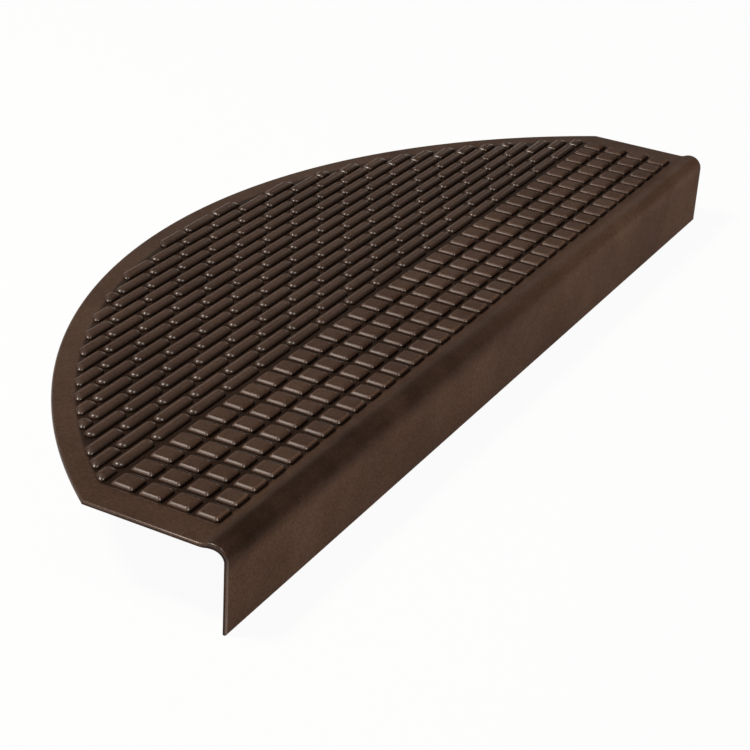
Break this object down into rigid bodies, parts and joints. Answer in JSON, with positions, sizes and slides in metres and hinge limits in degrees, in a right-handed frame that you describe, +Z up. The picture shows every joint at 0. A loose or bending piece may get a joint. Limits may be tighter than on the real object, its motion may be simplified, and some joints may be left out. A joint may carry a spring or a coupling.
{
  "type": "stair tread mat",
  "caption": "Half-round moulded rubber stair tread mat with square studs, brick-laid anti-slip ribs, a rounded nose and a down-turned front flange.",
  "frame": {"origin": "on the underside of the tread sheet, midway along the line where the straight sides meet the curved back edge", "axes": "+X along the nose, +Y into the stair, away from the nose, +Z up from the tread; the flange hangs down along -Z"},
  "size_m": [0.65, 0.25, 0.0508],
  "materials": {
    "rubber": "semi-matt moulded dark brown"
  },
  "bodies": {
    "root": {"tread_mat": "rubber"}
  },
  "joints": []
}
